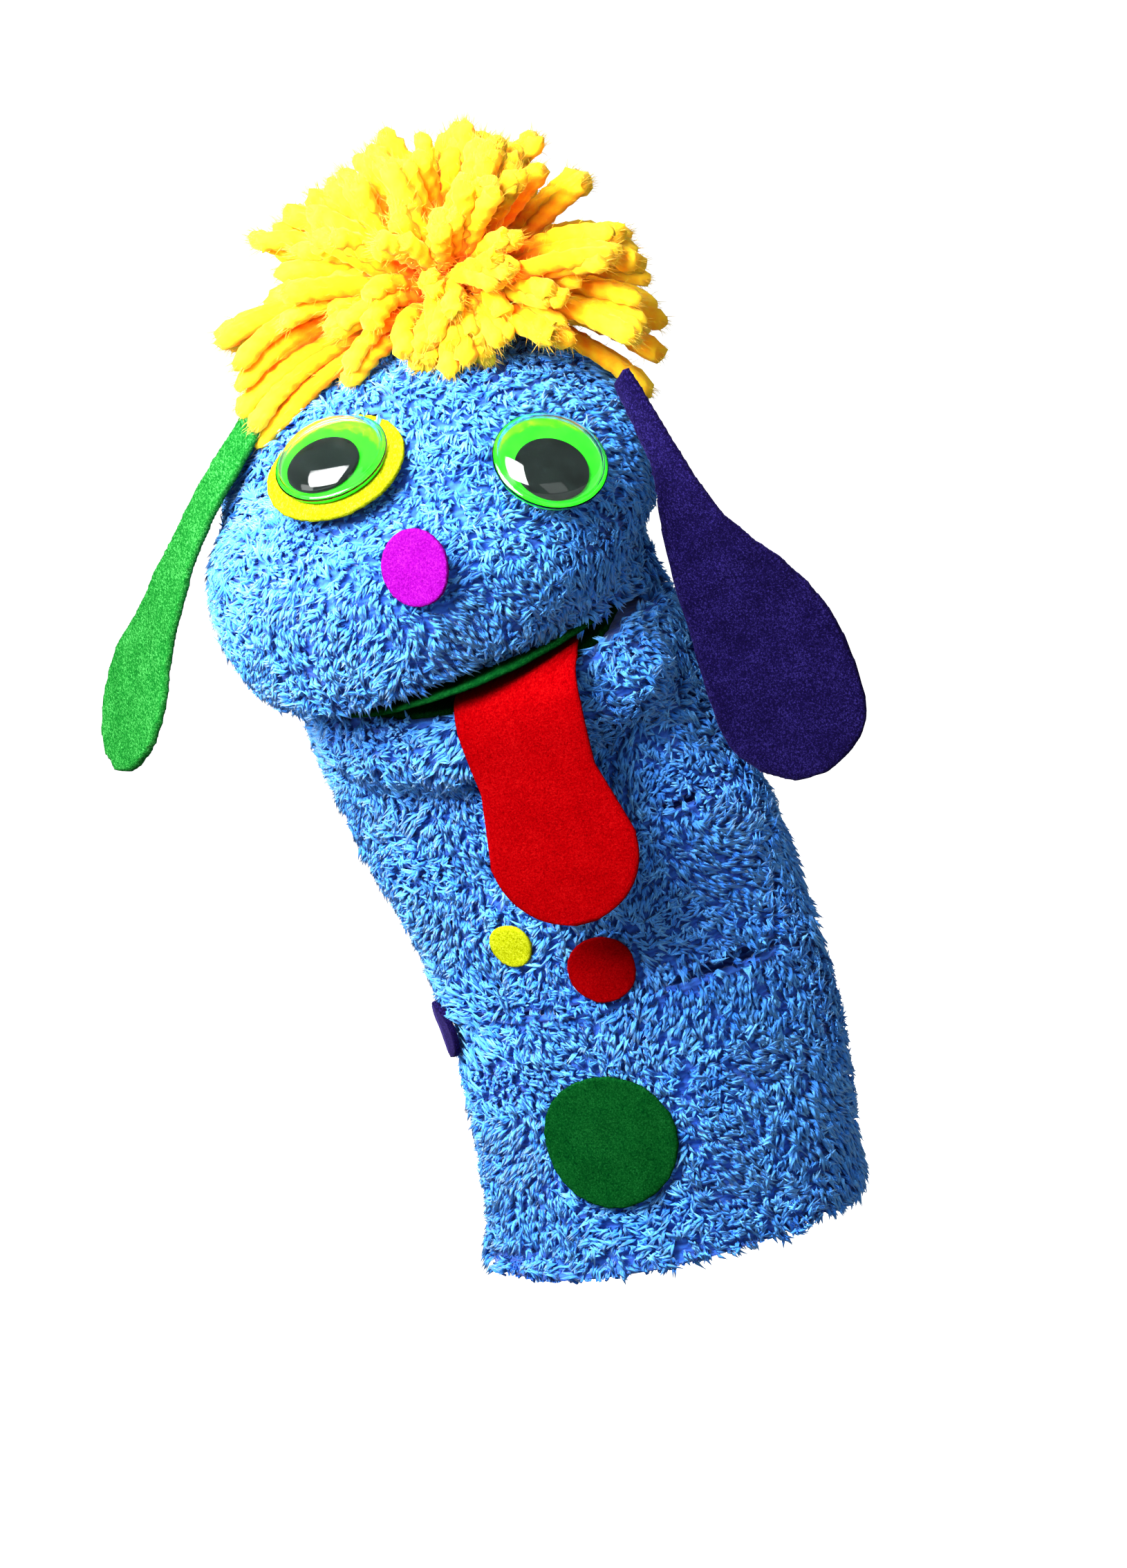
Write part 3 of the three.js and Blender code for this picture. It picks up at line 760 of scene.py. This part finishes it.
# Node, body, colour, how it is held, flat width and length in mm, the share of them it covers, what it
# rests on, and the grain it is remeshed at in mm.
FACE_FELTS = (
    ("nose", "head", "magenta", "laid", (15.5, 17), ROUND, "sock_head_ground", 0.4),
    ("eye_patch", "head", "yellow", "laid", (31, 31), ROUND, "sock_head_ground", 0.45),
    ("mouth_lining_upper", "head", "green", "laid", (62, 48), 0.82, "sock_head_ground", 0.6),
    ("mouth_lining_lower", "jaw", "green", "laid", (62, 41), 0.82, "sock_neck_ground", 0.6),
)
EAR_FELTS = (
    ("ear_green", "green_ear_flap", "light_green", "hung", (31, 94), 0.54, "sock_head_ground", 0.7),
    ("ear_purple", "purple_ear_flap", "purple", "hung", (33, 97), 0.6, "sock_head_ground", 0.7),
)


def felt_piece(node, material, voxel, seed=1):
    """A CAD node as softly uneven cut felt."""
    piece = softened(f"felt_{node}", [node], voxel, FELT_ROUNDS, material)
    ruffle(piece, FELT_RUFFLE, FELT_RUFFLES_TO_A_METRE, seed)
    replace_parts(piece, node)
    return piece


def make_spots(felts):
    for seed, (colour, (zone, width)) in enumerate(SPOTS.items()):
        spot = felt_piece(f"spot_{colour}", felts[colour], 0.4 * MM, seed)
        bend_with_sock(spot)


def make_felts(table, felts):
    for node, body, colour, held, (width, length), share, ground, voxel in table:
        piece = felt_piece(node, felts[colour], voxel * MM)
        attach(piece, body)
        if node == "mouth_lining_upper":
            reach_lip(piece)
        if body == "jaw" or node == "mouth_lining_upper":
            tilt_lips(piece, lower=body == "jaw")


def reach_lip(piece):
    """Stretches the upper lining forward so that its cut edge shows under the lip."""
    back = max(vertex.co.y for vertex in piece.data.vertices)
    for vertex in piece.data.vertices:
        vertex.co.y = back + (vertex.co.y - back) * LIP_STRETCH
    piece.data.update()


def curve_through(points, steps):
    """A smooth curve through a few points, in even steps."""
    ends = [points[0] * 2 - points[1]] + points + [points[-1] * 2 - points[-2]]
    fine = []
    for a, b, c, d in zip(ends, ends[1:], ends[2:], ends[3:]):
        for step in range(24):
            t = step / 24
            fine.append(0.5 * ((2 * b) + (c - a) * t + (2 * a - 5 * b + 4 * c - d) * t ** 2
                               + (3 * b - a - 3 * c + d) * t ** 3))
    fine.append(points[-1])
    travelled = [0.0]
    for first, second in zip(fine, fine[1:]):
        travelled.append(travelled[-1] + (second - first).length)
    places = np.linspace(0, travelled[-1], steps + 1)
    columns = [np.interp(places, travelled, [point[axis] for point in fine]) for axis in range(3)]
    return [Vector(point) for point in zip(*columns)], travelled[-1]


TONGUE_FELT = 1.5 * MM
# Full width in mm at shares of the way from the root to the tip.
TONGUE_WIDTHS = ((0, 20), (0.3, 28), (0.44, 28), (0.6, 26), (0.8, 33), (1, 33))


def make_tongue(material):
    """One strip of felt from inside the mouth, over the lower lip and down to a round tip."""
    root_low, root_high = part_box("tongue_root")
    low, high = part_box("tongue")
    lip = joint_place("tongue_swing")
    swing = (low.x + high.x) / 2 - lip.x
    hang = lip.z - low.z
    points = [
        Vector((lip.x, root_high.y - 1 * MM, root_high.z - 0.6 * MM)),
        Vector((lip.x, (root_high.y + root_low.y) / 2, (root_high.z + root_low.z) / 2 + 0.9 * MM)),
        Vector((lip.x, root_low.y + 2 * MM, root_low.z + 2.4 * MM)),
        Vector((lip.x, lip.y + 0.2 * MM, lip.z - 1.6 * MM)),
        Vector((lip.x, lip.y - 1.2 * MM, lip.z - 0.14 * hang)),
        Vector((lip.x + 0.2 * swing, lip.y - 1.2 * MM, lip.z - 0.36 * hang)),
        Vector((lip.x + swing, lip.y - 1.8 * MM, lip.z - 0.7 * hang)),
        Vector((lip.x + 1.5 * swing, lip.y - 2 * MM, low.z)),
    ]
    steps = 90
    path, length = curve_through(points, steps)
    tip_radius = (high.x - low.x) / 2 - 0.6 * MM
    corners = 20
    mesh_points = []
    faces = []
    for step, at in enumerate(path):
        tangent = (path[min(step + 1, steps)] - path[max(step - 1, 0)]).normalized()
        across = (Vector((1, 0, 0)) - tangent * tangent.x).normalized()
        normal = tangent.cross(across)
        share = step / steps
        half = np.interp(share, *zip(*TONGUE_WIDTHS)) / 2 * MM
        from_tip = max(0.2 * MM, (1 - share) * length)
        if from_tip < tip_radius:
            half = min(half, math.sqrt(tip_radius ** 2 - (tip_radius - from_tip) ** 2))
        ripple = 0.5 * MM * noise.noise(Vector((share * 4, 3, 1)))
        for corner in range(corners):
            angle = 2 * math.pi * corner / corners
            flat = math.copysign(abs(math.cos(angle)) ** 0.3, math.cos(angle))
            thick = math.copysign(abs(math.sin(angle)) ** 0.6, math.sin(angle))
            wave = ripple + 0.35 * MM * noise.noise(Vector((flat * 1.5, share * 5, 7)))
            mesh_points.append(at + across * half * flat + normal * (TONGUE_FELT / 2 * thick + wave))
        if step:
            faces += band_faces((step - 1) * corners, corners)
    faces.append(list(range(corners))[::-1])
    faces.append([steps * corners + corner for corner in range(corners)])
    piece = mesh_object("felt_tongue", mesh_points, faces, material)
    tilt_lips(piece)
    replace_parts(piece, "tongue", "tongue_root")
    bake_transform(piece)


# ---- wiggle eyes ----

EYE_SEGMENTS = 72
CUP_INSET = 0.6 * MM
CUP_EDGE = 0.5 * MM
PUPIL_EDGE = 0.35 * MM
DOME_INSET = 0.5 * MM
DOME_WALL = 0.7 * MM
DOME_FLATNESS = 0.72       # below 1 the dome is steep at its rim and nearly flat on top
RIM_HEIGHT = 0.6 * MM


def facing_matrix(place, axis):
    across = Vector((0, 0, 1)).cross(axis).normalized()
    up = axis.cross(across)
    return Matrix.Translation(place) @ Matrix((across, up, axis)).transposed().to_4x4()


def turned(name, profile, material, placement, shift=(0, 0)):
    """A solid of revolution from (radius, height) points that start and end on the axis."""
    segments = EYE_SEGMENTS
    points = []
    faces = []
    rings = []
    for radius, height in profile:
        if radius == 0:
            rings.append([len(points)])
            points.append(Vector((shift[0], shift[1], height)))
            continue
        rings.append(list(range(len(points), len(points) + segments)))
        for step in range(segments):
            angle = 2 * math.pi * step / segments
            across, up = radius * math.cos(angle), radius * math.sin(angle)
            points.append(Vector((shift[0] + across, shift[1] + up, height)))
    for low, high in zip(rings, rings[1:]):
        for step in range(segments):
            after = (step + 1) % segments
            if len(low) == 1:
                faces.append([low[0], high[after], high[step]])
            elif len(high) == 1:
                faces.append([low[step], low[after], high[0]])
            else:
                faces.append([low[step], low[after], high[after], high[step]])
    return mesh_object(name, [placement @ point for point in points], faces, material)


def rounded_disc(radius, low, high, edge):
    """Profile of a disc with a rounded edge, from the middle of its back to the middle of its front."""
    profile = [(0, low), (radius * 0.6, low), (radius - edge, low)]
    for step in range(1, 6):
        angle = math.pi * step / 6
        height = (low + high) / 2 - (high - low) / 2 * math.cos(angle)
        profile.append((radius - edge + edge * math.sin(angle), height))
    return profile + [(radius - edge, high), (radius * 0.6, high), (0, high)]


def dome_profile(radius, base, top):
    """Profile of the clear dome: down its inside, out along its flat rim and back up its outside."""
    outside = radius - DOME_INSET
    inside = outside - DOME_WALL
    arc = [math.radians(angle) for angle in range(12, 90, 6)]
    def shell(reach, rise, angles):
        return [(reach * math.cos(a) ** DOME_FLATNESS, base + rise * math.sin(a)) for a in angles]
    rim = [(inside, base), (radius, base), (radius, base + RIM_HEIGHT),
           (outside + 0.1 * MM, base + RIM_HEIGHT + 0.2 * MM)]
    return ([(0, top - DOME_WALL)] + shell(inside, top - base - DOME_WALL, arc[::-1]) + rim
            + shell(outside, top - base, arc) + [(0, top)])


def make_eye(side, materials):
    """One wiggle eye: a green disc, the loose black disc and the clear dome over it."""
    joint = f"{side}_pupil_spin"
    placement = facing_matrix(joint_place(joint), joint_axis(joint))
    inverse = placement.inverted()
    def local(part):
        vertices = frame["nodes"][f"eye_{side}_{part}"].data.vertices
        return np.array([(inverse @ vertex.co)[:] for vertex in vertices])
    backing, pupil, dome = local("backing"), local("pupil"), local("dome")
    radius = float(np.abs(backing[:, 0]).max())
    centre = (pupil.min(0) + pupil.max(0)) / 2
    pupil_radius = float(pupil[:, 0].max() - centre[0])

    def heights(points):
        return float(points[:, 2].min()), float(points[:, 2].max())
    cup = rounded_disc(radius - CUP_INSET, *heights(backing), CUP_EDGE)
    bead = rounded_disc(pupil_radius, *heights(pupil), PUPIL_EDGE)
    window = dome_profile(radius, *heights(dome))
    for name, part, profile, colour, body, shift in (
            ("cup", "backing", cup, "green", "head", (0, 0)),
            ("bead", "pupil", bead, "black", f"{side}_pupil", centre[:2]),
            ("window", "dome", window, "clear", "head", (0, 0))):
        piece = turned(f"eye_{side}_{name}", profile, materials[colour], placement, shift)
        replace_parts(piece, f"eye_{side}_{part}")
        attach(piece, body)


# ---- pompom ----

PLY_SPACING = 3.4 * MM     # from one groove between the plies to the next
YARN_SIDES = 8
YARN_SEED = 5
BUNCHES = 66
LOWEST_BUNCH = -0.42       # how far down a bunch may point, as the height of its tip on a unit ball
STRANDS_TO_A_BUNCH = 5
STRANDS_AT_THE_FACE = 2
STRAND_STEPS = 30
STRAND_RADIUS = (1.9 * MM, 2.5 * MM)
STRAND_CLEARANCE = 3.4 * MM  # from a strand's middle to the head under it
CUT_RAGGED = 1.3 * MM
WISPS_TO_A_STRAND = 62
WISP_CORNERS = (0.0, 2.094, 4.189)  # a third of a turn apart
WISP_LENGTH = (1.4, 3.2)   # in mm
WISP_RADIUS = 0.07 * MM
POMPOM_HALF_HEIGHT = 32 * MM


def yarn_tube(path, radius, luck, builder, rng, ragged=0.0):
    """A plied strand: two soft plies that wind round each other, with a ragged cut end."""
    sides = YARN_SIDES
    points, quads, caps, tones = builder
    first = len(points)
    across = None
    steps = len(path) - 1
    travelled = 0.0
    for step, at in enumerate(path):
        tangent = (path[min(step + 1, steps)] - path[max(step - 1, 0)]).normalized()
        if across is None:
            across = tangent.orthogonal().normalized()
        across = (across - tangent * across.dot(tangent)).normalized()
        up = tangent.cross(across)
        if step:
            travelled += (at - path[step - 1]).length
        share = step / steps
        girth = 0.78 + 0.3 * share if step < steps else 0.75
        for corner in range(sides):
            angle = 2 * math.pi * corner / sides
            lobe = math.cos(2 * angle - 2 * math.pi * travelled / PLY_SPACING)
            rough = 0.2 * noise.noise(at * 1100 + Vector((corner * 0.9, luck * 50, 0)))
            reach = radius * girth * (1 + 0.09 * lobe + rough)
            cut = tangent * ragged * rng.uniform(-1, 0.6) if step == steps else Vector((0, 0, 0))
            points.append(at + (across * math.cos(angle) + up * math.sin(angle)) * reach + cut)
            # The first tone climbs from root to tip and dips in the grooves between the plies: painted shade
            # towards the tie and in the grooves, painted light at the tip.
            tones.append((min(1.0, max(0.0, share + 0.08 * lobe)), luck, share))
        if step:
            quads += band_faces(first + (step - 1) * sides, sides)
    end = len(points) - sides
    points.append(path[-1] + (path[-1] - path[-2]).normalized() * ragged * 0.8)
    tones.append((0.92, luck, 1.0))
    points.append(path[0])
    tones.append((0.0, luck, 0.0))
    for corner in range(sides):
        after = (corner + 1) % sides
        caps.append((end + corner, end + after, len(points) - 2))
        caps.append((first + after, first + corner, len(points) - 1))


def wisp(root, direction, length, width, curl, luck, builder):
    """One loose fibre: a thin three-sided hair that curls away."""
    points, _, caps, tones = builder
    side = direction.orthogonal().normalized()
    other = direction.cross(side)
    rings = []
    for share, girth in ((0.0, 1.0), (0.55, 0.7)):
        at = root + direction * length * share + curl * share ** 2
        rings.append(len(points))
        for angle in WISP_CORNERS:
            points.append(at + (side * math.cos(angle) + other * math.sin(angle)) * width * girth)
            # Loose fibres take the pale tip colour, which is painted light.
            tones.append((0.9, luck, 1.0))
    points.append(root + direction * length + curl)
    tones.append((1.0, luck, 1.0))
    for corner in range(3):
        after = (corner + 1) % 3
        low, high = rings
        caps.append((low + corner, low + after, high + after))
        caps.append((low + corner, high + after, high + corner))
        caps.append((high + corner, high + after, len(points) - 1))


def add_wisp(path, radius, luck, rng, builder):
    """A loose fibre somewhere along a strand, or one of the brush at its cut end."""
    step = rng.randrange(6, len(path) + 16)
    at_end = step >= len(path) - 1
    step = min(step, len(path) - 1)
    tangent = (path[step] - path[step - 1]).normalized()
    outward = tangent.orthogonal().normalized()
    outward.rotate(Matrix.Rotation(rng.uniform(0, 2 * math.pi), 3, tangent))
    if at_end:
        root = path[step] + outward * radius * rng.uniform(0, 0.9) - tangent * 0.5 * MM
        direction = (tangent + outward * rng.uniform(0, 0.5)).normalized()
    else:
        root = path[step] + outward * radius * 0.8
        direction = (outward + tangent * rng.uniform(0.3, 1.6)).normalized()
    curl = Vector([rng.gauss(0, 0.6) for _ in range(3)]) * MM
    wisp(root, direction, rng.uniform(*WISP_LENGTH) * MM, WISP_RADIUS, curl, luck, builder)


def spread_directions(count, lowest):
    """Evenly spread directions, from straight up down to a height of `lowest` on the unit ball."""
    golden = math.pi * (3 - math.sqrt(5))
    for index in range(count):
        height = 1 - (index + 0.5) / count * (1 - lowest)
        flat = math.sqrt(max(0.0, 1 - height ** 2))
        yield Vector((flat * math.cos(golden * index), flat * math.sin(golden * index), height))


def reach_inside(heart, direction, middle, radii):
    """How far it is from the tie to the pompom's outside along a direction."""
    ray = Vector([direction[axis] / radii[axis] for axis in range(3)])
    offset = Vector([(heart - middle)[axis] / radii[axis] for axis in range(3)])
    a, b, c = ray.dot(ray), ray.dot(offset), offset.dot(offset) - 1
    return (-b + math.sqrt(max(0.0, b * b - a * c))) / a


def lifted(surface, point, clearance):
    """A point moved up if it would sink into the head."""
    hit, _, _, _ = surface.ray_cast(point + Vector((0, 0, 0.06)), Vector((0, 0, -1)), 0.12)
    if hit is not None and hit.z + clearance > point.z:
        return Vector((point.x, point.y, hit.z + clearance))
    return point


def make_pompom(head_skin, material):
    """Bunches of cut yarn fan out from the tie; those towards the face are short and droop."""
    rng = random.Random(YARN_SEED)
    low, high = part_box("pompom_yarn")
    tie_low, tie_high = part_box("pompom_tie")
    heart = Vector(((tie_low.x + tie_high.x) / 2 - 1 * MM, (tie_low.y + tie_high.y) / 2 - 6 * MM,
                    tie_high.z - 8 * MM))
    middle = Vector(((low.x + high.x) / 2, (low.y + high.y) / 2, high.z - POMPOM_HALF_HEIGHT))
    radii = ((high.x - low.x) / 2, (high.y - low.y) / 2, POMPOM_HALF_HEIGHT)
    crown = one_surface([head_skin])
    builder = ([], [], [], [])
    fuzz = ([], [], [], [])
    for bunch in spread_directions(BUNCHES, LOWEST_BUNCH):
        bunch = (bunch + Vector([rng.gauss(0, 0.1) for _ in range(3)])).normalized()
        bunch_reach = rng.uniform(0.9, 1.03)
        towards_face = max(0.0, -bunch.y - 0.25)
        count = STRANDS_AT_THE_FACE if towards_face > 0.3 else STRANDS_TO_A_BUNCH
        for _ in range(count):
            direction = (bunch + Vector([rng.gauss(0, 0.095) for _ in range(3)])).normalized()
            reach = reach_inside(heart, direction, middle, radii) * bunch_reach * rng.uniform(0.93, 1.02)
            reach *= 1 - 0.4 * min(1.0, towards_face / 0.5)
            level = 1 - direction.z ** 2
            droop = (5 + 10 * towards_face) * MM * level
            if abs(bunch.x) > 0.6 and bunch.y > -0.35 and bunch.z < 0.35:
                # At both sides the lowest bunches hang down past the head.
                reach = max(reach, (49 if bunch.x < 0 else 44) * MM * bunch_reach)
                droop += (6 if bunch.x < 0 else 4) * MM
            sag = Vector((rng.gauss(0, 1.6), rng.gauss(0, 1.6), rng.gauss(0, 1.2))) * MM
            path = []
            for step in range(STRAND_STEPS + 1):
                share = step / STRAND_STEPS
                at = heart + direction * (2.5 * MM + (reach - 3 * MM) * share)
                at += sag * 4 * share * (1 - share) + Vector((0, 0, 0.35 - share ** 2)) * droop * share
                path.append(lifted(crown, at, STRAND_CLEARANCE))
            radius = rng.uniform(*STRAND_RADIUS)
            luck = rng.random()
            yarn_tube(path, radius, luck, builder, rng, ragged=CUT_RAGGED)
            for _ in range(WISPS_TO_A_STRAND):
                add_wisp(path, radius, luck, rng, fuzz)
    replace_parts(built_yarn("pompom_strands", builder, material), "pompom_yarn")
    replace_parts(built_yarn("pompom_fuzz", fuzz, material), "pompom_yarn")


def built_yarn(name, builder, material):
    points, quads, caps, tones = builder
    quads = np.array(quads, int).reshape(-1, 4)
    piece = array_mesh(name, np.array([point[:] for point in points]), quads, np.array(caps), np.array(tones),
                       material)
    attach(piece, "head")
    return piece


def make_tie(material):
    """Three turns of yarn round the middle of the pompom, and the yarn that holds it to the head."""
    low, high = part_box("pompom_tie")
    centre = Vector(((low.x + high.x) / 2, (low.y + high.y) / 2, high.z - (high.x - low.x) / 2))
    builder = ([], [], [], [])
    rng = random.Random(YARN_SEED)
    for turn in range(3):
        path = []
        lean = Matrix.Rotation(math.radians(12 * (turn - 1)), 3, "X")
        lean = lean @ Matrix.Rotation(math.radians(40 * turn), 3, "Z")
        for step in range(33):
            angle = 2 * math.pi * step / 32
            around = Vector((math.cos(angle), math.sin(angle), 0.0)) * 3.1 * MM
            path.append(centre + lean @ around + Vector((0, 0, (turn - 1) * 1.3 * MM)))
        yarn_tube(path, 1.1 * MM, 0.4, builder, rng)
    stem = [Vector((centre.x, centre.y, low.z + (centre.z - low.z) * step / 6)) for step in range(7)]
    yarn_tube(stem, 1.3 * MM, 0.4, builder, rng)
    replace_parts(built_yarn("pompom_binding", builder, material), "pompom_tie")


# ---- assembly ----

COVERING = ("spot_green", "spot_red", "spot_yellow", "spot_purple", "nose", "eye_patch", "eye_right_backing")


def main():
    make_lights()
    make_floor()
    knit = knit_material()
    pile = pile_material()
    yarn = yarn_material()
    felts = {colour: felt_material(*row) for colour, row in FELT_COLOURS.items()}
    eyes = {
        "green": plastic_material("eye_green_plastic", (18, 168, 14), (34, 190, 22), 0.12, 0.1),
        "black": plastic_material("eye_black_plastic", (4, 8, 7), (12, 18, 17), 0.2, 0.02),
        "clear": dome_material(),
    }
    skins, outside = make_skins(knit)
    make_pile(skins, outside, pile, [Cover(node) for node in COVERING])
    for zone, skin in skins.items():
        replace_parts(skin, *SKINS[zone])
        bend_with_sock(skin)
    make_spots(felts)
    make_felts(FACE_FELTS, felts)
    make_tongue(felts["red"])
    make_felts(EAR_FELTS, felts)
    for side in ("left", "right"):
        make_eye(side, eyes)
    make_pompom(skins["head"], yarn)
    make_tie(yarn)


main()
